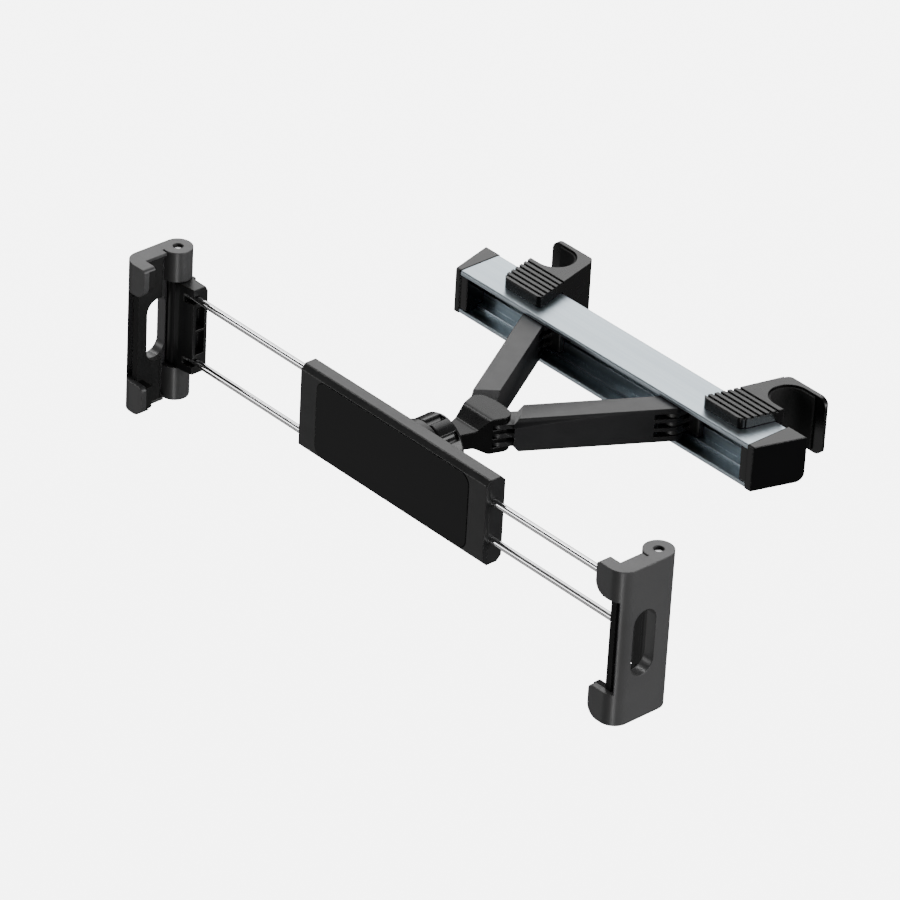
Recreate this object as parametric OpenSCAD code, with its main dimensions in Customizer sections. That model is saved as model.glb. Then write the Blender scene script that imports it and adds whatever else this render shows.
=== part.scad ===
// Stretching holder on a folding arm: an aluminium rail carries two hooked clamps
// at its back, two folding arms run in the rail's front channel and meet in a hub,
// and a ball joint on the hub carries a holder with a hinged jaw at each end.
// Millimetres, +Z up, X along the rail, -Y to the front of the holder.
// Origin: on the axis of the left clamp's hook, at the rail's mid height.

/* [Hooks] */
// Distance between the axes of the two hooks
hook_gap = 126.0; // [112:1:128]
// Inside width of each lined hook
hook_w = 14.2; // [13:0.2:15]

/* [Rail] */
// Length of the extrusion between its end caps
rail_l = 154.8; // [154.8:0.2:160]
// Height of the extrusion
rail_h = 18; // [17.6:0.1:18.6]
// Depth of the extrusion from front to back
rail_d = 19.5; // [19.5:0.1:20]
// Radius of the lower rear edge
rail_r = 3.5; // [1:0.5:4]

/* [Arms] */
// Distance between an arm's two hinge axes
arm_l = 64.06; // [63.9:0.02:64.2]
// Width of an arm
arm_w = 9.4; // [9:0.1:9.6]
// Height of an arm
arm_h = 13.8; // [13.4:0.1:13.9]
// Angle between each arm and the rail
arm_ang = 60.03; // [59.8:0.01:60.2]
// Distance between the hub's two hinge axes
hub_gap = 10.8; // [10.6:0.1:11.2]

/* [Holder] */
// Length of the holder's body
body_l = 100.5; // [99:0.5:102]
// Height of the holder's body
body_h = 35.4; // [35:0.1:36]
// Thickness of the holder's body
body_t = 8.9; // [8.9:0.1:9.2]
// Chamfer along the body's long edges
body_c = 2.0; // [1.6:0.1:2.0]
// Diameter of a guide rod
rod_d = 2.8; // [2.6:0.1:2.8]
// Half the distance between the left pair of rods
rod_zl = 13.4; // [13.3:0.1:13.5]
// Half the distance between the right pair of rods
rod_zr = 7.9; // [7.8:0.1:8.1]

/* [Jaws] */
// How far the left jaw's hinge stands from the body's end
reach_l = 75.45; // [74:0.05:80]
// How far the right jaw's hinge stands from the body's end
reach_r = 82.25; // [81:0.05:86]
// Height of a jaw
jaw_h = 62.8; // [60:0.2:64]
// Depth from a jaw's hinge axis to the front of its lips
jaw_d = 21.8; // [21:0.1:23]

/* [Hidden] */
$fn = 64;
e = 0.01;
cx = 58.1;                       // middle of the hub and the body
rail_y1 = -10.7;                 // back face of the rail
rail_y0 = rail_y1 - rail_d;      // front face of the rail
rz = rail_h/2;
rail_x0 = cx - 77;               // left end of the extrusion
rail_x1 = rail_x0 + rail_l;
ch_t = 7.2;                      // front channel, upper inner face
ch_b = -7.4;                     // front channel, lower inner face
web_y = -21.2;                   // front face of the web behind the channel
slot_h = 1.8;                    // half height of the two T slots
t_z = 6.5;                       // half height of the two T chambers
piv_y = -29.0;                   // arm hinge axes at the rail
piv_x = hub_gap/2 + arm_l*cos(arm_ang);  // from cx
hub_y = piv_y - arm_l*sin(arm_ang);      // arm hinge axes at the hub
fp = 3.63;                       // pitch of the hinge fingers
ft = 1.8;                        // thickness of a finger
fs = 2.1;                        // height of a finger slot
pin_r = 1.5;                     // hinge pins
pin_c = 1.55;                    // running bores on them
ball_y = hub_y - 28.5;           // ball centre
ball_r = 7.0;
by1 = ball_y - 9.5;              // back face of the body
by0 = by1 - body_t;              // front face of the body
bx0 = cx - body_l/2;
bx1 = cx + body_l/2;
bz = body_h/2;
rod_y = by0 + 4.2;               // rod and jaw hinge plane
rod_r = rod_d/2;
jx_l = bx0 - reach_l;            // jaw hinge axes
jx_r = bx1 + reach_r;
jz0 = -0.8 - jaw_h/2;            // foot of a jaw
jz1 = -0.8 + jaw_h/2;            // top of a jaw
jr = 5.7;                        // outer radius of the hinge barrel
kz = 18.2;                       // half height of the middle knuckle's room
blk_l = 12.4;                    // from hinge axis to the block's inner face
hook_r = hook_w/2;
grey = [0.10, 0.10, 0.105];

// ---- helpers --------------------------------------------------------------

// (y, z) outline swept from x0 to x1
module along_x(x0, x1) { translate([x0, 0, 0]) rotate([90, 0, 90]) linear_extrude(x1 - x0) children(); }
// (x, z) outline swept from y0 to y1
module along_y(y0, y1) { translate([0, y1, 0]) rotate([90, 0, 0]) linear_extrude(y1 - y0) children(); }
// (x, y) outline swept from z0 to z1
module along_z(z0, z1) { translate([0, 0, z0]) linear_extrude(z1 - z0) children(); }
module box2(x0, y0, x1, y1) { translate([x0, y0]) square([x1 - x0, y1 - y0]); }
module box3(x0, y0, z0, x1, y1, z1) { translate([x0, y0, z0]) cube([x1 - x0, y1 - y0, z1 - z0]); }
// what a round corner at (x, y) takes away; the material lies towards (sx, sy)
module corner(x, y, sx, sy, r) {
    difference() {
        box2(min(x - sx*0.5, x + sx*r), min(y - sy*0.5, y + sy*r),
             max(x - sx*0.5, x + sx*r), max(y - sy*0.5, y + sy*r));
        translate([x + sx*r, y + sy*r]) circle(r);
    }
}
// rectangle with a radius at each corner: lower left, lower right, upper right, upper left
module rbox2(x0, y0, x1, y1, a, b, c, d) {
    difference() {
        box2(x0, y0, x1, y1);
        if (a > 0) corner(x0, y0, 1, 1, a);
        if (b > 0) corner(x1, y0, -1, 1, b);
        if (c > 0) corner(x1, y1, -1, -1, c);
        if (d > 0) corner(x0, y1, 1, -1, d);
    }
}
// the right-hand pieces are drawn, and the left-hand ones are their mirror image
module side(s) { if (s > 0) children(); else translate([2*cx, 0, 0]) mirror([1, 0, 0]) children(); }

// ---- rail and end caps ----------------------------------------------------

module rail_outline(g, b) {
    difference() {
        rbox2(rail_y0 - g, -rz - g, rail_y1 + b, rz + g, 0.3, rail_r, 0.8, 0.5);
        polygon([[rail_y0 - g - e, rz + g + e], [rail_y0 - g + 0.55, rz + g + e], [rail_y0 - g - e, rz + g - 0.55]]);
    }
}

module rail() {
    color([0.62, 0.68, 0.72])
    along_x(rail_x0, rail_x1) difference() {
        rail_outline(0, 0);
        // front channel with a low step at the foot of its back wall
        box2(rail_y0 - 1, ch_b, web_y, ch_t);
        // T chamber for the arm carriages
        box2(web_y + 1.2, -t_z, web_y + 4.8, t_z);
        box2(web_y - e, -slot_h, web_y + 1.3, slot_h);
        // T chamber for the clamps, open to the back
        box2(rail_y1 - 4.7, -t_z, rail_y1 - 1.4, t_z);
        box2(rail_y1 - 1.5, -slot_h, rail_y1 + 1, slot_h);
    }
    color([0.62, 0.68, 0.72])
    along_x(rail_x0, rail_x1)
        rbox2(web_y - 3.0, ch_b - 0.3, web_y + 0.3, ch_b + 1.2, 0, 0, 0, 0.4);
}

// Moulded cap on the end x0: an oblique outer face, t0 thick in front and t1 at the
// back, and a plug in the front channel. It stands b proud of the rail's back
module end_cap(x0, t0, t1, b) {
    color([0.03, 0.03, 0.032]) {
        intersection() {
            along_x(x0, x0 + 12) rail_outline(0.25, b);
            along_z(-20, 20)
                polygon([[x0, rail_y0 - 1], [x0 + t0, rail_y0 - 1], [x0 + t1, rail_y1 + 2], [x0, rail_y1 + 2]]);
        }
        box3(x0 - 3.6, rail_y0 + 0.35, ch_b + 0.1, x0 + e, web_y - 3.1, ch_t - 0.1);
        box3(x0 - 3.6, web_y - 3.2, ch_b + 1.35, x0 + e, web_y - 0.1, ch_t - 0.1);
        box3(x0 - 5, web_y + 1.35, -t_z + 0.15, x0 + e, web_y + 4.65, t_z - 0.15);
        box3(x0 - 5, rail_y1 - 4.55, -t_z + 0.15, x0 + e, rail_y1 - 1.55, t_z - 0.15);
    }
}
module end_cap_right() { end_cap(rail_x1, 2.7, 9.6, 1.1); }
module end_cap_left() { side(-1) end_cap(2*cx - rail_x0, 2.35, 8.2, 0.25); }

// ---- clamps ---------------------------------------------------------------

cl_z1 = 13.5;                    // top of a clamp
cl_z0 = -10.4;                   // foot of a clamp
fin_x = 10.2;                    // tip of a hook
lin_t = 1.0;                     // liner thickness
function skew(y) = -13.35 + (y + 0.1)*0.245;   // inner flank, leans out towards the back
function skew_o(y) = 4.9 + (y + 7.1)*0.215;     // outer flank of the front jaw

// Plan of the clamp about its hook axis; the hook opens towards +x
module clamp_plan() {
    difference() {
        polygon([[skew(-25.5), -25.5], [skew_o(-25.5), -25.5], [skew_o(-hook_r), -hook_r - lin_t],
                 [skew_o(-hook_r), 0], [fin_x, 0], [fin_x, 10], [skew(10), 10]]);
        circle(hook_r + lin_t);
        box2(0, -hook_r - lin_t, 12, hook_r + lin_t);
        corner(skew(-25.5), -25.5, 1, 1, 2.4);
        corner(skew_o(-25.5), -25.5, -1, 1, 2.2);
        corner(skew(10), 10, 1, -1, 2.5);
        corner(fin_x, 10, -1, -1, 1.0);
    }
}

module clamp_body() {
    difference() {
        union() {
            // pad lying on the rail
            along_z(rz + 0.15, cl_z1) clamp_plan();
            // body behind the rail
            intersection() {
                along_z(cl_z0, cl_z1) clamp_plan();
                box3(-30, rail_y1 + 0.4, cl_z0, 20, 20, cl_z1);
            }
        }
        // pocket for the shoe's tang
        box3(-13.0, rail_y1 - 1, -slot_h + 0.15, -2.0, rail_y1 + 1.6, slot_h - 0.15);
        // grip grooves across the pad
        for (i = [0:5]) box3(-30, -24.15 + 2.6*i, cl_z1 - 0.8, 12, -23.05 + 2.6*i, cl_z1 + 1);
        // round ends of the rear finger and of the front jaw's lower corner
        along_y(0, 20) corner(fin_x, cl_z1, -1, -1, 4.0);
        along_y(0, 20) corner(fin_x, cl_z0, -1, 1, 4.0);
        along_y(-hook_r - 6, 0) corner(skew_o(-hook_r), cl_z0, -1, 1, 4.0);
    }
}
module clamp_right() { color([0.06, 0.06, 0.062]) translate([hook_gap, 0, 0]) clamp_body(); }
module clamp_left() { color([0.06, 0.06, 0.062]) mirror([1, 0, 0]) clamp_body(); }

// T-shaped shoe in the rail's rear slot, with a tang that sits in the clamp
module clamp_shoe() {
    box3(-13.0, rail_y1 - 1.7, -slot_h + 0.15, -2.0, rail_y1 + 1.6, slot_h - 0.15);
    box3(-13.5, rail_y1 - 4.4, -5.6, -1.5, rail_y1 - 1.65, 5.6);
}
module clamp_shoe_right() { color([0.04, 0.04, 0.041]) translate([hook_gap, 0, 0]) clamp_shoe(); }
module clamp_shoe_left() { color([0.04, 0.04, 0.041]) mirror([1, 0, 0]) clamp_shoe(); }

// Rubber lining of the hook
module clamp_liner() {
    along_z(cl_z0 + 0.8, cl_z1 - 0.8) difference() {
        union() {
            circle(hook_r + lin_t);
            box2(0, -hook_r - lin_t, 4.2, -hook_r + 0.01);
            box2(0, hook_r - 0.01, 5.0, hook_r + lin_t);
        }
        circle(hook_r);
        box2(0, -hook_r, 12, hook_r);
    }
}
module clamp_liner_right() { color([0.035, 0.035, 0.035]) translate([hook_gap, 0, 0]) clamp_liner(); }
module clamp_liner_left() { color([0.035, 0.035, 0.035]) mirror([1, 0, 0]) clamp_liner(); }

// ---- carriages and arms ---------------------------------------------------

module carriage() {
    px = cx + piv_x;
    difference() {
        union() {
            // plate standing on the channel's step
            along_z(ch_b + 1.5, ch_t - 0.4) rbox2(px - 9, web_y - 2.7, px + 9, web_y - 0.25, 0.8, 0.8, 0, 0);
            // T neck and T head in the web's slot
            box3(px - 7.5, web_y - 0.5, -slot_h + 0.15, px + 7.5, web_y + 1.6, slot_h - 0.15);
            box3(px - 7.5, web_y + 1.5, -5.6, px + 7.5, web_y + 4.5, 5.6);
            // three hinge fingers
            for (k = [-1, 0, 1]) along_z(k*fp - ft/2, k*fp + ft/2) {
                translate([px, piv_y]) circle(4.4);
                box2(px - 4.4, piv_y, px + 4.4, web_y - 1);
            }
        }
        translate([px, piv_y, -8]) cylinder(r = pin_c, h = 16);
    }
}
module carriage_right() { color([0.05, 0.05, 0.052]) carriage(); }
module carriage_left() { color([0.05, 0.05, 0.052]) side(-1) carriage(); }

// Arm along +x from the hub hinge at the origin to the rail hinge at x = arm_l;
// its outer flank is on -y
module arm_local() {
    w = arm_w/2;
    h = arm_h/2;
    core = fp + ft/2;
    difference() {
        union() {
            // full section, with an oblique hub end, and the round rail end
            along_z(-h, h) {
                polygon([[4.5, -w], [arm_l, -w], [arm_l, w], [7.8, w]]);
                translate([arm_l, 0]) circle(w);
            }
            // low neck and finger ends
            along_z(-core, core) {
                circle(w - 0.2);
                box2(0, -w + 0.2, 14, w - 0.2);
            }
        }
        // hub end: room for the hub's plates between the three fingers
        for (k = [-1, 1]) along_z(k*fp/2 - (fp - ft)/2, k*fp/2 + (fp - ft)/2) box2(-6, -6, 4.8, 6);
        // hub end: sloping shoulders above and below the neck
        for (m = [0, 1]) mirror([0, 0, m]) translate([4.5, -w, core]) rotate([0, 0, 90 - atan(3.3/arm_w)])
            rotate([-51, 0, 0]) translate([-4, -6, 0]) cube([20, 6, 4]);
        // rail end: three slots for the carriage's fingers
        for (k = [-1, 0, 1]) along_z(k*fp - fs/2, k*fp + fs/2) box2(arm_l - 7.6, -8, arm_l + 8, 8);
        // hinge bores
        translate([0, 0, -9]) cylinder(r = pin_c, h = 18);
        translate([arm_l, 0, -9]) cylinder(r = pin_r, h = 9 + h - 1.0);
    }
}
module arm_place() { translate([cx + hub_gap/2, hub_y, 0]) rotate([0, 0, arm_ang]) children(); }
module arm_right() { color([0.07, 0.07, 0.072]) arm_place() arm_local(); }
module arm_left() { color([0.07, 0.07, 0.072]) side(-1) arm_place() arm_local(); }
module rail_pin() { translate([cx + piv_x, piv_y, -arm_h/2 + 0.2]) cylinder(r = pin_r, h = arm_h - 1.2); }
module rail_pin_right() { color("silver") rail_pin(); }
module rail_pin_left() { color("silver") side(-1) rail_pin(); }

// ---- hub ------------------------------------------------------------------

hub_h = 7.1;
module hub_plan() {
    translate([-hub_gap/2, 0]) circle(4.1);
    translate([hub_gap/2, 0]) circle(4.1);
    polygon([[-hub_gap/2, -3], [hub_gap/2, -3], [hub_gap/2, 4.1], [3.4, 4.55], [0, 4.75], [-3.4, 4.55], [-hub_gap/2, 4.1]]);
    polygon([[-9.45, -0.6], [9.45, -0.6], [7.35, -7.0], [5.95, -11.5], [4.5, -15.7], [3.4, -18.8],
             [-3.4, -18.8], [-4.5, -15.7], [-5.95, -11.5], [-7.35, -7.0]]);
}
// room for an arm's fingers about a hinge axis; the outer side is open wider
module finger_room() {
    circle(4.75);
    intersection() { circle(5.75); box2(0.8, -6, 7, 6); }
    for (a = [28, 58, 86]) rotate([0, 0, a]) box2(0, -4.65, 12, 4.65);
}
module hub() {
    color([0.055, 0.055, 0.057]) difference() {
        union() {
            translate([cx, hub_y, 0]) intersection() {
                along_z(-hub_h, hub_h) hub_plan();
                along_x(-12, 12) polygon([[6, hub_h], [-4.4, hub_h], [-5.2, 7.0], [-5.95, 6.72], [-6.6, 6.3], [-10.3, 3.85],
                                          [-10.9, 3.55], [-11.7, 3.4], [-18.8, 3.1], [-18.8, -3.1], [-13.1, -3.4], [-12.3, -3.55],
                                          [-11.6, -3.9], [-7.6, -6.45], [-6.9, -6.85], [-6.0, -hub_h], [6, -hub_h]]);
            }
            // round stem to the ball
            translate([cx, hub_y - 16, 0]) rotate([90, 0, 0]) cylinder(r = 2.9, h = 6.4);
        }
        for (s = [-1, 1]) translate([cx, hub_y, 0]) scale([1, 1, 1]) mirror([s < 0 ? 1 : 0, 0, 0]) translate([hub_gap/2, 0, 0]) {
            for (k = [-1, 0, 1]) along_z(k*fp - fs/2, k*fp + fs/2) finger_room();
            translate([0, 0, -9]) cylinder(r = pin_r, h = 9 + hub_h - 1.0);
        }
        translate([cx, ball_y, 0]) sphere(r = ball_r + 0.05);
    }
}
module hub_pin(s) { translate([cx + s*hub_gap/2, hub_y, -hub_h + 0.3]) cylinder(r = pin_r, h = 2*hub_h - 1.4); }
module hub_pin_right() { color("silver") hub_pin(1); }
module hub_pin_left() { color("silver") hub_pin(-1); }

// ---- ball joint -----------------------------------------------------------

module turn(y0) { translate([cx, y0, 0]) rotate([-90, 0, 0]) children(); }   // local +z runs along +Y

module ball() { color([0.08, 0.08, 0.08]) translate([cx, ball_y, 0]) sphere(r = ball_r); }

// Cup that the ball turns in
module ball_seat() {
    color([0.75, 0.75, 0.72]) difference() {
        turn(ball_y - 8.3) cylinder(r = 8.3, h = 8.0);
        translate([cx, ball_y, 0]) sphere(r = ball_r + 0.05);
    }
}
// Flanged, threaded collar on the back of the body
module socket() {
    color([0.05, 0.05, 0.052]) difference() {
        union() {
            turn(by1) rotate_extrude() polygon([[0, 0], [12.5, 0], [12.5, 6.1], [12.0, 6.6], [10.4, 6.6], [10.4, 11.8], [10.1, 12.1], [0, 12.1]]);
        }
        turn(by1 + 1.1) cylinder(r = 8.36, h = 20);
        for (a = [45:90:315]) turn(by1 - e) rotate([0, 0, a]) translate([10.2, 0, 0]) cylinder(r = 0.9, h = 6);
    }
}
module socket_screws() {
    color("silver") for (a = [45:90:315]) turn(by1 - 1.68) rotate([0, 0, a]) translate([10.2, 0, 0]) difference() {
        union() {
            rotate_extrude() polygon([[0, 0], [1.6, 0], [0.9, 0.8], [0.9, 7.2], [0, 7.2]]);
        }
        box3(-1.2, -0.2, -e, 1.2, 0.2, 0.4);
    }
}
nut_l = 9.0;
module ring_nut() {
    y0 = by1 + 6.9;
    color([0.09, 0.09, 0.092]) difference() {
        turn(y0) rotate_extrude() polygon([[5.9, 5.5], [10.50, 5.5], [10.50, 0], [11.6, 0], [12.1, 0.5],
                                           [12.1, nut_l - 0.9], [11.6, nut_l], [9.2, nut_l], [5.9, nut_l - 2.0]]);
        translate([cx, ball_y, 0]) sphere(r = ball_r + 0.06);
        // eight finger grooves that stop short of the rear rim
        for (a = [41.5:45:360]) translate([cx, 0, 0]) rotate([0, -a, 0]) translate([13.3, y0 - 0.5, 0])
            rotate([-90, 0, 0]) cylinder(r = 2.3, h = nut_l - 0.8);
    }
}

// ---- holder body ----------------------------------------------------------

module body_outline() {
    polygon([[by0, -bz + body_c], [by0 + body_c, -bz], [by1 - body_c, -bz], [by1, -bz + body_c],
             [by1, bz - body_c], [by1 - body_c, bz], [by0 + body_c, bz], [by0, bz - body_c]]);
}
split_y = by0 + 2.0;             // parting plane of cover and shell
cav_y1 = by1 - 1.7;              // inner face of the shell's back wall

module body_shell() {
    color([0.05, 0.05, 0.052]) difference() {
        intersection() {
            along_x(bx0, bx1) body_outline();
            box3(bx0 - 1, split_y, -30, bx1 + 1, by1 + 1, 30);
        }
        box3(bx0 + 3.5, split_y - 1, -bz + 2.3, bx1 - 3.5, cav_y1, bz - 2.3);
        // guide bores for the rods
        for (z = [-rod_zl, rod_zl]) translate([bx0 - 1, rod_y, z]) rotate([0, 90, 0]) cylinder(r = rod_r + 0.05, h = 5.5);
        for (z = [-rod_zr, rod_zr]) translate([bx1 - 4.5, rod_y, z]) rotate([0, 90, 0]) cylinder(r = rod_r + 0.05, h = 5.5);
        // countersunk screw holes in the back wall
        for (a = [45:90:315]) turn(cav_y1 - e) rotate([0, 0, a]) translate([10.2, 0, 0])
            rotate_extrude() polygon([[0, 0], [1.70, 0], [1.0, 0.8], [1.0, 3], [0, 3]]);
    }
    // spring pegs
    color([0.05, 0.05, 0.052]) for (p = [[bx1 - 6.0, 3.2], [bx0 + 4.6, -3.2]])
        box3(p[0], by0 + 3.4, p[1] - 1, p[0] + 1.4, cav_y1 + e, p[1] + 1);
}

module body_cover() {
    color([0.05, 0.05, 0.052]) difference() {
        intersection() {
            along_x(bx0, bx1) body_outline();
            box3(bx0 - 1, by0 - 1, -30, bx1 + 1, split_y, 30);
        }
        // pocket for the front pad
        along_y(by0 - 1, by0 + 0.8) rbox2(bx0 + 9.15, -bz + body_c + 0.25, bx1 - 9.15, bz - body_c - 0.25, 4.1, 4.1, 4.1, 4.1);
        // shallow inner recess for the left slider
        box3(bx0 + 3.5, split_y - 0.4, -bz + 2.4, bx1 - 3.5, split_y + 1, bz - 2.4);
    }
}
module front_pad() {
    color([0.01, 0.01, 0.012])
    along_y(by0 - 0.15, by0 + 0.8) rbox2(bx0 + 9.2, -bz + body_c + 0.3, bx1 - 9.2, bz - body_c - 0.3, 4.05, 4.05, 4.05, 4.05);
}

// ---- rods, sliders and springs --------------------------------------------

sl_l = bx0 + 28.15;              // inner end of the left rods at this stretch
sl_r = bx1 - 22.0;               // inner end of the right rods
rod_out_l = jx_l + 3.6;          // outer end of the rods, in the block
rod_out_r = jx_r - 3.6;

module rod(x0, x1, z) { color([0.85, 0.85, 0.86]) translate([x0, rod_y, z]) rotate([0, 90, 0]) cylinder(r = rod_r, h = x1 - x0); }
module rod_left_upper() { rod(rod_out_l, sl_l + 5, rod_zl); }
module rod_left_lower() { rod(rod_out_l, sl_l + 5, -rod_zl); }
module rod_right_upper() { rod(sl_r - 5, rod_out_r, rod_zr); }
module rod_right_lower() { rod(sl_r - 5, rod_out_r, -rod_zr); }

// Crosspiece on the inner ends of the left rods; its plate passes in front of the right rods
module slider_left() {
    color([0.55, 0.55, 0.56]) difference() {
        union() {
            box3(sl_l, split_y - 0.2, -15.0, sl_l + 5, split_y + 0.6, 15.0);
            for (z = [-rod_zl, rod_zl]) box3(sl_l, split_y + 0.5, z - 1.6, sl_l + 5, rod_y + 1.5, z + 1.6);
            box3(sl_l + 2.5, split_y + 0.5, 2.3, sl_l + 4.5, rod_y + 0.7, 4.1);
        }
        for (z = [-rod_zl, rod_zl]) translate([sl_l - 1, rod_y, z]) rotate([0, 90, 0]) cylinder(r = rod_r, h = 7);
    }
}
// Crosspiece on the inner ends of the right rods; its plate passes behind the left rods
module slider_right() {
    color([0.55, 0.55, 0.56]) difference() {
        union() {
            box3(sl_r - 5, rod_y + 1.7, -9.6, sl_r, cav_y1 - 0.3, 9.6);
            for (z = [-rod_zr, rod_zr]) box3(sl_r - 5, rod_y - 1.3, z - 1.6, sl_r + 0, rod_y + 1.8, z + 1.6);
            box3(sl_r - 4.5, rod_y - 0.7, -4.1, sl_r - 2.5, rod_y + 1.8, -2.3);
        }
        for (z = [-rod_zr, rod_zr]) translate([sl_r - 6, rod_y, z]) rotate([0, 90, 0]) cylinder(r = rod_r, h = 7);
    }
}

// Coil of round wire along +x from the origin: n turns over length l
function coil_pt(t, n, l, r) = [l*t, r*cos(360*n*t), r*sin(360*n*t)];
module coil(l, n, r, w) {
    m = 9*n;
    k = 5;
    pts = [for (i = [0:m]) let (t = i/m, a = 360*n*t, c = coil_pt(t, n, l, r))
           for (j = [0:k-1]) let (b = 360*j/k)
           [c[0] + w*sin(b), c[1] + w*cos(b)*cos(a), c[2] + w*cos(b)*sin(a)]];
    faces = concat(
        [for (i = [0:m-1], j = [0:k-1]) let (a = i*k + j, b = i*k + (j+1)%k) [a, b, b + k]],
        [for (i = [0:m-1], j = [0:k-1]) let (a = i*k + j, b = i*k + (j+1)%k) [a, b + k, a + k]],
        [[for (j = [k-1:-1:0]) j]], [[for (j = [0:k-1]) m*k + j]]);
    polyhedron(pts, faces, convexity = 10);
}
module spring_left() {
    x0 = sl_l + 5.4;
    color("silver") translate([x0, rod_y, 3.2]) coil(bx1 - 6.4 - x0, 24, 1.15, 0.22);
}
module spring_right() {
    x0 = bx0 + 6.4;
    color("silver") translate([x0, rod_y, -3.2]) coil(sl_r - 5.4 - x0, 28, 1.15, 0.22);
}

// ---- jaws -----------------------------------------------------------------

// Right-hand pieces about the hinge axis: +x outwards, -y to the front

// Block on the outer ends of the rods, with the middle knuckle of the hinge. The rods
// lie in grooves that are open to the front, and its inner face is hollowed
module block_local(zr) {
    difference() {
        union() {
            along_z(-kz + 0.2, kz - 0.2) {
                circle(3.7);
                polygon([[-5.4, -3.3], [-2.6, -2.9], [0, -2.9], [0, 3.7], [-1.85, 3.2], [-2.75, 3.25], [-3.95, 4.5], [-5.4, 4.5]]);
            }
            intersection() {
                along_z(-kz + 0.2, kz - 0.2) polygon([[-blk_l, -2.15], [-5.3, -3.3], [-5.3, 4.5], [-blk_l, 4.5]]);
                along_x(-blk_l - 1, -5) polygon([[-6, -kz], [3.3, -kz], [4.6, 2.4 - kz], [4.6, kz - 2.4], [3.3, kz], [-6, kz]]);
            }
        }
        translate([0, 0, -20]) cylinder(r = pin_c, h = 40);
        for (z = [-zr, zr]) {
            translate([-9, 0, z]) rotate([0, 90, 0]) cylinder(r = rod_r, h = 5.4);
            translate([-blk_l - 1, 0, z]) rotate([0, 90, 0]) cylinder(r = rod_r + 0.2, h = blk_l + 1 - 7.6);
            box3(-blk_l - 1, -6, z - rod_r - 0.2, -7.6, 0, z + rod_r + 0.2);
        }
        for (m = [0, 1]) mirror([0, 0, m]) box3(-blk_l - 1, -0.9, 0.5, -blk_l + 3.6, 3.3, zr - 3.4);
    }
}

lip_t = 2.4;                     // thickness of the front lips
wall_t = 4.6;                    // thickness of the jaw's side wall
bend_r = 6.3;                    // outer radius of the front bend
lip_x = -7.4;                    // tip of the lips
module jaw_plan() {
    circle(jr);
    box2(jr - wall_t, -jaw_d + bend_r, jr, 0);
    difference() {
        translate([jr - bend_r, -jaw_d + bend_r]) circle(bend_r);
        box2(-10, -jaw_d + lip_t, jr - wall_t, 0);
        box2(-10, -jaw_d - 1, jr - bend_r - 0.01, 0);
    }
    box2(lip_x, -jaw_d, jr - bend_r, -jaw_d + lip_t);
}
module window() {                // stadium window, about the hinge axis
    translate([-4, -9.75, -0.8]) rotate([90, 0, 90]) linear_extrude(14) {
        box2(-5.3, -7.95, 5.3, 7.95);
        translate([0, 7.95]) circle(5.3);
        translate([0, -7.95]) circle(5.3);
    }
}
hk_t = 18.1;                     // lower edge of the upper lip
hk_b = -19.5;                    // upper edge of the lower lip
rim_h = 1.2;                     // rims that cover the ends of the lining
module rim_plan() {
    difference() {
        union() {
            box2(-1.55, -jaw_d, jr, -6.5);
            box2(lip_x, -jaw_d, 1, -jaw_d + 5.35);
        }
        corner(jr, -jaw_d, -1, 1, bend_r);
    }
}
module jaw_local() {
    difference() {
        union() {
            along_z(jz0, jz1) jaw_plan();
            along_z(jz1 - rim_h, jz1) rim_plan();
            along_z(jz0, jz0 + rim_h) rim_plan();
        }
        // room for the middle knuckle
        translate([0, 0, -kz]) cylinder(r = 4.0, h = 2*kz);
        along_z(-kz, kz) polygon([[-8, -7], [jr - wall_t, -7], [jr - wall_t, (jr - wall_t)*tan(40)],
                                  [8, 8*tan(40)], [8, 9], [-8, 9]]);
        // pin hole with a wider mouth at each end
        translate([0, 0, jz0 - 1]) cylinder(r = pin_r, h = jaw_h + 2);
        translate([0, 0, jz1 - 1.5]) cylinder(r = 1.95, h = 3);
        translate([0, 0, jz0 - 1.5]) cylinder(r = 1.95, h = 3);
        window();
        // the front is cut back between the two lips
        box3(-10, -jaw_d - 1, hk_b, jr - 2.3, -jaw_d + 5.0, hk_t);
        // corners of the lips
        along_y(-jaw_d - 1, -jaw_d + 5.6) {
            corner(lip_x, jz1, 1, -1, 1.5);
            corner(lip_x, hk_t, 1, 1, 5.0);
            corner(lip_x, hk_b, 1, -1, 1.8);
            corner(lip_x, jz0, 1, 1, 5.0);
        }
        // round lower rear corner
        along_x(-8, 8) corner(jr + 0.3, jz0, -1, 1, 4.0);
    }
}
// Rubber lining of the side wall and of the two lips
module jaw_pad_local() {
    difference() {
        union() {
            along_z(jz0 + rim_h, jz1 - rim_h) rbox2(jr - wall_t - 2.6, -jaw_d + lip_t, jr - wall_t, -7.6, 0, 0, 0, 1.2);
            for (m = [0, 1]) along_z(m ? hk_t + 0.5 : jz0 + rim_h, m ? jz1 - rim_h : hk_b - 0.5)
                rbox2(lip_x + 0.1, -jaw_d + lip_t, jr - wall_t, -jaw_d + lip_t + 2.9, 0, 0, 0, 0.5);
        }
        window();
        along_y(-jaw_d, -jaw_d + 6) {
            corner(lip_x + 0.1, hk_t + 0.5, 1, 1, 4.5);
            corner(lip_x + 0.1, jz0 + rim_h, 1, 1, 3.8);
        }
    }
}
module jaw_pin_local() { translate([0, 0, jz0 + 1.2]) cylinder(r = pin_r, h = jaw_h - 2.2); }

module at_right() { translate([jx_r, rod_y, 0]) children(); }
module at_left() { translate([jx_l, rod_y, 0]) mirror([1, 0, 0]) children(); }

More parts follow.
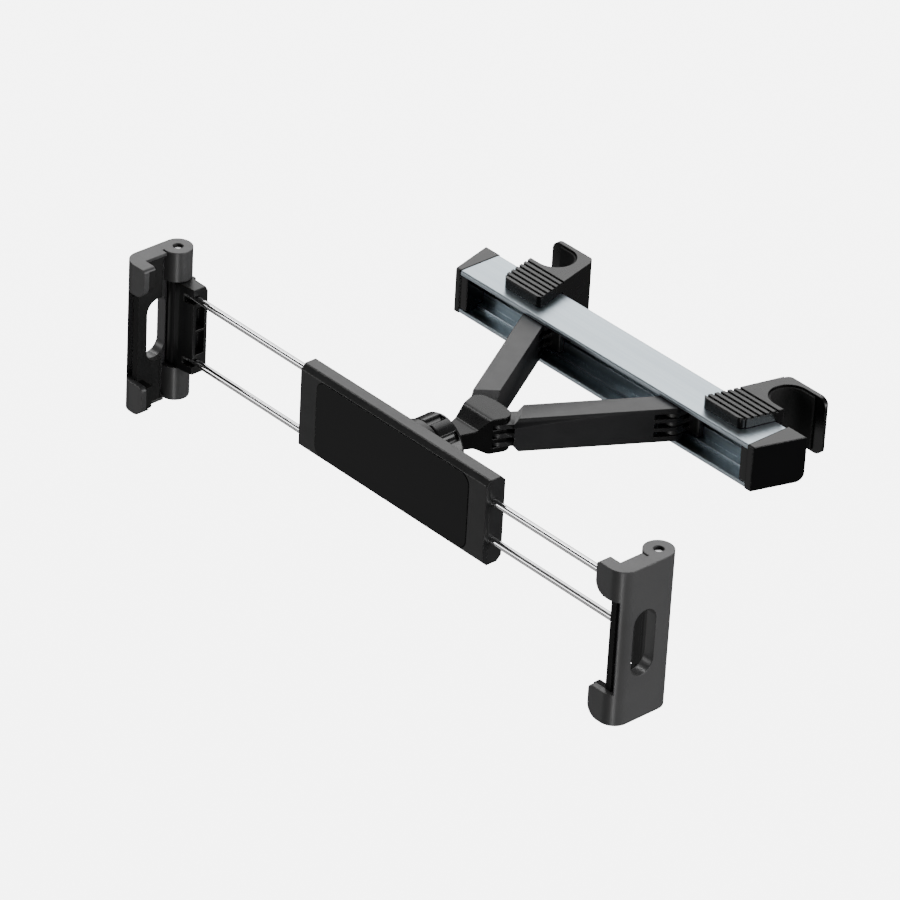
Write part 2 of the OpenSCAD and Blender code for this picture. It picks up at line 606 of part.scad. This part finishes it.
module rod_block_right() { color([0.06, 0.06, 0.062]) at_right() block_local(rod_zr); }
module rod_block_left() { color([0.06, 0.06, 0.062]) at_left() block_local(rod_zl); }
module jaw_right() { color([0.08, 0.08, 0.082]) at_right() jaw_local(); }
module jaw_left() { color([0.08, 0.08, 0.082]) at_left() jaw_local(); }
module jaw_pin_right() { color("silver") at_right() jaw_pin_local(); }
module jaw_pin_left() { color("silver") at_left() jaw_pin_local(); }
module jaw_pad_right() { color([0.03, 0.03, 0.03]) at_right() jaw_pad_local(); }
module jaw_pad_left() { color([0.03, 0.03, 0.03]) at_left() jaw_pad_local(); }

// ---------------------------------------------------------------------------

rail();
end_cap_left();
end_cap_right();
clamp_left();
clamp_right();
clamp_liner_left();
clamp_liner_right();
clamp_shoe_left();
clamp_shoe_right();
carriage_left();
carriage_right();
arm_left();
arm_right();
rail_pin_left();
rail_pin_right();
hub();
hub_pin_left();
hub_pin_right();
ball();
ball_seat();
ring_nut();
socket();
socket_screws();
body_shell();
body_cover();
front_pad();
slider_left();
slider_right();
rod_left_upper();
rod_left_lower();
rod_right_upper();
rod_right_lower();
spring_left();
spring_right();
rod_block_left();
rod_block_right();
jaw_left();
jaw_right();
jaw_pin_left();
jaw_pin_right();
jaw_pad_left();
jaw_pad_right();
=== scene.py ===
import math

import bmesh
import bpy
from mathutils import Matrix, Vector
from mathutils.bvhtree import BVHTree

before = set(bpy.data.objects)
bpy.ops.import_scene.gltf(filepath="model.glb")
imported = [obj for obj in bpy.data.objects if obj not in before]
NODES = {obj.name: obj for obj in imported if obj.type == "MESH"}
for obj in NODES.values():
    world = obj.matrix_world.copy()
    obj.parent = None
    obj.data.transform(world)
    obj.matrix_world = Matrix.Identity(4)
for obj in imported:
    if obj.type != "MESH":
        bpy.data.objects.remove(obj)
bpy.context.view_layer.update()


# ---------------------------------------------------------------------------
# Materials
# ---------------------------------------------------------------------------

class Net:
    """A small helper for building node trees."""

    def __init__(self, name):
        self.mat = bpy.data.materials.new(name)
        self.mat.use_nodes = True
        self.t = self.mat.node_tree
        self.t.nodes.clear()
        self.out = self.t.nodes.new("ShaderNodeOutputMaterial")
        self.p = self.t.nodes.new("ShaderNodeBsdfPrincipled")
        self.t.links.new(self.p.outputs[0], self.out.inputs[0])
        self.co = self.t.nodes.new("ShaderNodeTexCoord").outputs["Object"]

    def node(self, kind, **props):
        n = self.t.nodes.new(kind)
        for k, v in props.items():
            setattr(n, k, v)
        return n

    def link(self, a, b):
        self.t.links.new(a, b)

    def mapping(self, scale):
        n = self.node("ShaderNodeMapping")
        n.inputs["Scale"].default_value = scale
        self.link(self.co, n.inputs["Vector"])
        return n.outputs[0]

    def noise(self, scale, detail=3.0, rough=0.5, stretch=None, distortion=0.0):
        n = self.node("ShaderNodeTexNoise")
        n.inputs["Scale"].default_value = scale
        n.inputs["Detail"].default_value = detail
        n.inputs["Roughness"].default_value = rough
        n.inputs["Distortion"].default_value = distortion
        self.link(self.mapping(stretch) if stretch else self.co, n.inputs["Vector"])
        return n.outputs["Fac"]

    def ramp(self, fac, stops):
        n = self.node("ShaderNodeValToRGB")
        e = n.color_ramp.elements
        while len(e) < len(stops):
            e.new(0.5)
        for k, (pos, col) in enumerate(stops):
            e[k].position = pos
            e[k].color = (col, col, col, 1) if isinstance(col, (int, float)) else (*col, 1)
        self.link(fac, n.inputs[0])
        return n.outputs[0]

    def remap(self, fac, lo, hi, a=0.0, b=1.0):
        n = self.node("ShaderNodeMapRange")
        n.inputs["From Min"].default_value = a
        n.inputs["From Max"].default_value = b
        n.inputs["To Min"].default_value = lo
        n.inputs["To Max"].default_value = hi
        self.link(fac, n.inputs["Value"])
        return n.outputs[0]

    def edge_normal(self, radius):
        n = self.node("ShaderNodeBevel", samples=6)
        n.inputs["Radius"].default_value = radius
        return n.outputs[0]

    def bump(self, height, strength, distance, normal=None):
        n = self.node("ShaderNodeBump")
        n.inputs["Strength"].default_value = strength
        n.inputs["Distance"].default_value = distance
        self.link(height, n.inputs["Height"])
        if normal is not None:
            self.link(normal, n.inputs["Normal"])
        return n.outputs[0]

    def set(self, **kw):
        for k, v in kw.items():
            self.p.inputs[k.replace("_", " ")].default_value = v


def plastic(name, tone, rough, grain=0.5, edge=0.0004, spec=0.5, coat=0.0):
    """Moulded plastic: fine spark-eroded grain, slow changes of gloss, and edges with a small radius."""
    m = Net(name)
    slow = m.noise(38.0, 4.0, 0.55)
    lo = tuple(c * 0.90 for c in tone)
    hi = tuple(c * 1.10 for c in tone)
    m.link(m.ramp(slow, [(0.25, lo), (0.75, hi)]), m.p.inputs["Base Color"])
    patch = m.noise(160.0, 3.0, 0.6)
    m.link(m.remap(patch, rough - 0.035, rough + 0.035, 0.25, 0.75), m.p.inputs["Roughness"])
    fine = m.noise(5200.0, 2.0, 0.6)
    m.link(m.bump(fine, grain, 0.00002, m.edge_normal(edge)), m.p.inputs["Normal"])
    m.set(Specular_IOR_Level=spec, Coat_Weight=coat, Coat_Roughness=0.06)
    return m.mat


def gloss(name, tone, rough=0.06, edge=0.0004, spec=0.5):
    """Polished black moulding with the faintest ripple."""
    m = Net(name)
    slow = m.noise(30.0, 2.0, 0.5)
    m.link(m.ramp(slow, [(0.3, tuple(c * 0.9 for c in tone)), (0.7, tuple(c * 1.1 for c in tone))]), m.p.inputs["Base Color"])
    m.link(m.remap(m.noise(420.0, 3.0, 0.6), rough, rough + 0.05, 0.3, 0.8), m.p.inputs["Roughness"])
    m.link(m.bump(m.noise(90.0, 1.0, 0.5), 0.12, 0.00004, m.edge_normal(edge)), m.p.inputs["Normal"])
    m.set(Specular_IOR_Level=spec)
    return m.mat


def rubber(name, tone, rough=0.75):
    m = Net(name)
    m.link(m.ramp(m.noise(60.0, 4.0, 0.6), [(0.3, tuple(c * 0.8 for c in tone)), (0.7, tuple(c * 1.2 for c in tone))]), m.p.inputs["Base Color"])
    m.link(m.remap(m.noise(900.0, 3.0, 0.7), rough - 0.06, rough + 0.06, 0.3, 0.7), m.p.inputs["Roughness"])
    m.link(m.bump(m.noise(3600.0, 3.0, 0.7), 0.5, 0.00004, m.edge_normal(0.0003)), m.p.inputs["Normal"])
    m.set(Specular_IOR_Level=0.35)
    return m.mat


def anodised(name):
    """Blue-grey anodised extrusion: die lines along X and a fine matt etch."""
    m = Net(name)
    lines = m.noise(1.0, 4.0, 0.65, stretch=(3.0, 2600.0, 2600.0))
    broad = m.noise(1.0, 2.0, 0.5, stretch=(1.2, 420.0, 420.0))
    mixed = m.node("ShaderNodeMath", operation="ADD")
    m.link(lines, mixed.inputs[0])
    m.link(broad, mixed.inputs[1])
    m.link(m.ramp(m.remap(mixed.outputs[0], 0.0, 1.0, 0.7, 1.3),
                  [(0.0, (0.435, 0.505, 0.555)), (0.5, (0.475, 0.545, 0.590)), (1.0, (0.515, 0.580, 0.625))]), m.p.inputs["Base Color"])
    m.link(m.remap(lines, 0.27, 0.36, 0.3, 0.7), m.p.inputs["Roughness"])
    etch = m.noise(4200.0, 2.0, 0.6)
    b1 = m.bump(etch, 0.25, 0.00001, m.edge_normal(0.00025))
    m.link(m.bump(lines, 0.18, 0.00001, b1), m.p.inputs["Normal"])
    m.set(Metallic=1.0, Anisotropic=0.3)
    return m.mat


def steel(name, tone, rough, axis_scale):
    """Bright drawn steel with faint lines."""
    m = Net(name)
    lines = m.noise(1.0, 3.0, 0.6, stretch=axis_scale)
    m.link(m.ramp(lines, [(0.3, tuple(c * 0.94 for c in tone)), (0.7, tuple(min(1.0, c * 1.04) for c in tone))]), m.p.inputs["Base Color"])
    m.link(m.remap(lines, rough, rough + 0.05, 0.3, 0.7), m.p.inputs["Roughness"])
    m.link(m.bump(lines, 0.08, 0.00001, m.edge_normal(0.00015)), m.p.inputs["Normal"])
    m.set(Metallic=1.0)
    return m.mat


M_RAIL = anodised("rail_anodised")
M_CAP = gloss("cap_gloss_black", (0.002, 0.002, 0.0022), rough=0.10, edge=0.0006, spec=0.38)
M_PAD = gloss("pad_gloss_black", (0.0018, 0.0018, 0.002), rough=0.12, edge=0.0002, spec=0.16)
M_CLAMP = plastic("clamp_black", (0.003, 0.003, 0.0031), 0.27, 0.16, 0.0004, spec=0.40)
M_BODY = plastic("body_black", (0.012, 0.012, 0.0125), 0.33, 0.20, 0.0005)
M_ARM = plastic("arm_black", (0.016, 0.016, 0.0170), 0.34, 0.22, 0.00045, spec=0.45)
M_HUB = plastic("hub_black", (0.003, 0.003, 0.0031), 0.27, 0.14, 0.0006, spec=0.24)
M_CARR = plastic("carriage_black", (0.020, 0.020, 0.020), 0.40, 0.4, 0.0003)
M_NUT = plastic("nut_black", (0.010, 0.010, 0.0103), 0.24, 0.15, 0.0005)
M_JAW = plastic("jaw_graphite", (0.060, 0.060, 0.061), 0.34, 0.24, 0.0005)
M_BLOCK = plastic("block_black", (0.010, 0.010, 0.0103), 0.36, 0.22, 0.0005)
M_RUBBER = rubber("rubber_black", (0.006, 0.006, 0.006))
M_LINER = rubber("liner_black", (0.008, 0.008, 0.008), 0.7)
M_NYLON = plastic("nylon_natural", (0.62, 0.61, 0.55), 0.5, 0.3, 0.0003)
M_ROD = steel("rod_chrome", (0.86, 0.86, 0.87), 0.06, (6.0, 2200.0, 2200.0))
M_PIN = steel("pin_steel", (0.60, 0.60, 0.61), 0.22, (2600.0, 2600.0, 8.0))
M_BALL = plastic("ball_black", (0.030, 0.030, 0.030), 0.25, 0.1, 0.0002)

ASSIGN = {
    "rail": M_RAIL, "end_cap_left": M_CAP, "end_cap_right": M_CAP,
    "clamp_left": M_CLAMP, "clamp_right": M_CLAMP, "clamp_liner_left": M_LINER, "clamp_liner_right": M_LINER,
    "clamp_shoe_left": M_CARR, "clamp_shoe_right": M_CARR,
    "carriage_left": M_CARR, "carriage_right": M_CARR, "arm_left": M_ARM, "arm_right": M_ARM,
    "rail_pin_left": M_PIN, "rail_pin_right": M_PIN, "hub": M_HUB, "hub_pin_left": M_PIN, "hub_pin_right": M_PIN,
    "ball": M_BALL, "ball_seat": M_NYLON, "ring_nut": M_NUT, "socket": M_BODY, "socket_screws": M_PIN,
    "body_shell": M_BODY, "body_cover": M_BODY, "front_pad": M_PAD,
    "slider_left": M_PIN, "slider_right": M_PIN,
    "rod_left_upper": M_ROD, "rod_left_lower": M_ROD, "rod_right_upper": M_ROD, "rod_right_lower": M_ROD,
    "spring_left": M_PIN, "spring_right": M_PIN,
    "rod_block_left": M_BLOCK, "rod_block_right": M_BLOCK, "jaw_left": M_JAW, "jaw_right": M_JAW,
    "jaw_pin_left": M_PIN, "jaw_pin_right": M_PIN, "jaw_pad_left": M_RUBBER, "jaw_pad_right": M_RUBBER,
}
for name, obj in NODES.items():
    obj.data.materials.clear()
    obj.data.materials.append(ASSIGN[name])


# ---------------------------------------------------------------------------
# Small radii on the edges of the mouldings
# ---------------------------------------------------------------------------

EDGES = {
    "end_cap_left": 0.45, "end_cap_right": 0.45,
    "clamp_left": 0.28, "clamp_right": 0.28, "clamp_liner_left": 0.15, "clamp_liner_right": 0.15,
    "carriage_left": 0.18, "carriage_right": 0.18, "arm_left": 0.30, "arm_right": 0.30,
    "hub": 0.30, "ring_nut": 0.30, "socket": 0.25,
    "body_shell": 0.35, "body_cover": 0.35, "front_pad": 0.12,
    "rod_block_left": 0.40, "rod_block_right": 0.40, "jaw_left": 0.22, "jaw_right": 0.22,
    "jaw_pad_left": 0.20, "jaw_pad_right": 0.20,
}


def round_edges(obj, width, angle=26.0, segments=3):
    """Rounds the sharp edges of a node by width mm, with modifiers only."""
    for poly in obj.data.polygons:
        poly.use_smooth = True
    w = obj.modifiers.new("weld", "WELD")
    w.merge_threshold = 2e-6
    d = obj.modifiers.new("flats", "DECIMATE")
    d.decimate_type = "DISSOLVE"
    d.angle_limit = math.radians(0.5)
    b = obj.modifiers.new("edges", "BEVEL")
    b.limit_method = "ANGLE"
    b.angle_limit = math.radians(angle)
    b.offset_type = "OFFSET"
    b.width = width * 0.001
    b.segments = segments
    b.use_clamp_overlap = True
    b.harden_normals = False
    b.miter_outer = "MITER_SHARP"
    n = obj.modifiers.new("normals", "WEIGHTED_NORMAL")
    n.weight = 80
    n.keep_sharp = False


def strays(obj, limit):
    """Whether the rounded mesh leaves the node's own surface by more than the limit, in metres."""
    own = BVHTree.FromPolygons([v.co.copy() for v in obj.data.vertices], [tuple(p.vertices) for p in obj.data.polygons])
    shown = obj.evaluated_get(bpy.context.evaluated_depsgraph_get())
    me = shown.to_mesh()
    far = max((own.find_nearest(v.co)[3] for v in me.vertices), default=1.0)
    shown.to_mesh_clear()
    return far > limit


for name, width in EDGES.items():
    for part in (1.0, 0.7, 0.45, 0.25):
        round_edges(NODES[name], width * part, segments=3 if part > 0.5 else 2)
        if not strays(NODES[name], width * part * 0.00055):
            break
        NODES[name].modifiers.clear()
    else:
        for poly in NODES[name].data.polygons:
            poly.use_smooth = False
        print("edges left sharp:", name)



# ---------------------------------------------------------------------------
# Floor, light and camera
# ---------------------------------------------------------------------------

def add_floor():
    m = Net("floor_pale")
    m.link(m.ramp(m.noise(1.2, 3.0, 0.5), [(0.2, (0.86, 0.86, 0.86)), (0.8, (0.88, 0.88, 0.88))]), m.p.inputs["Base Color"])
    m.set(Roughness=0.9, Specular_IOR_Level=0.1, Emission_Color=(1.0, 1.0, 1.0, 1.0), Emission_Strength=5.5)
    bm = bmesh.new()
    s = 14.0
    bm.faces.new([bm.verts.new(v) for v in ((-s, -s, 0), (s, -s, 0), (s, s, 0), (-s, s, 0))])
    me = bpy.data.meshes.new("floor")
    bm.to_mesh(me)
    bm.free()
    o = bpy.data.objects.new("floor", me)
    bpy.context.scene.collection.objects.link(o)
    o.location = (0, 0, -0.26)
    o.data.materials.append(m.mat)
    o.visible_glossy = False
    o.visible_diffuse = False
    o.visible_shadow = False
    return o


def area(name, direction, distance, size, radiance, target=(0.06, -0.07, 0.0), wide=None):
    """A softbox that faces the target. radiance is the brightness of its face."""
    d = Vector(direction).normalized()
    light = bpy.data.lights.new(name, "AREA")
    light.shape = "RECTANGLE"
    light.size = wide or size
    light.size_y = size
    light.energy = radiance * math.pi * size * (wide or size)
    o = bpy.data.objects.new(name, light)
    bpy.context.scene.collection.objects.link(o)
    o.location = Vector(target) + d * distance
    o.rotation_euler = d.to_track_quat("Z", "Y").to_euler()
    return o


add_floor()
area("softbox_top", (-0.50, 0.62, 0.60), 2.3, 1.9, 2.6)
area("strip_edge", (-0.62, 0.00, 0.78), 2.2, 1.7, 10.0, wide=0.30)
area("softbox_right", (0.93, 0.36, 0.20), 2.2, 1.5, 6.5)
area("softbox_front", (-0.62, -0.75, 0.22), 2.4, 0.7, 4.0, wide=1.4)
area("strip_low", (0.58, -0.61, -0.52), 2.2, 2.2, 6.0, wide=0.30)
area("fill_low", (-0.55, -0.62, -0.55), 2.4, 1.2, 0.42)

world = bpy.data.worlds.new("studio")
world.use_nodes = True
bg = world.node_tree.nodes["Background"]
bg.inputs[0].default_value = (1.0, 1.0, 1.0, 1.0)
bg.inputs[1].default_value = 0.10
bpy.context.scene.world = world

AZ, EL, ROLL = (math.radians(a) for a in (46.848, 31.620, 3.195))
back = Vector((math.sin(AZ) * math.cos(EL), -math.cos(AZ) * math.cos(EL), math.sin(EL)))
right = (-back).cross(Vector((0, 0, 1))).normalized()
up = right.cross(-back).normalized()
right2 = math.cos(ROLL) * right + math.sin(ROLL) * up
up2 = -math.sin(ROLL) * right + math.cos(ROLL) * up
cam = bpy.data.cameras.new("camera")
cam.sensor_fit = "HORIZONTAL"
cam.sensor_width = 36.0
cam.lens = 244.367
cam.clip_start = 0.05
cam.clip_end = 60.0
camera = bpy.data.objects.new("camera", cam)
bpy.context.scene.collection.objects.link(camera)
rot = Matrix((right2, up2, back)).transposed().to_4x4()
camera.matrix_world = Matrix.Translation((1.421357, -1.380889, 1.146038)) @ rot
bpy.context.scene.camera = camera
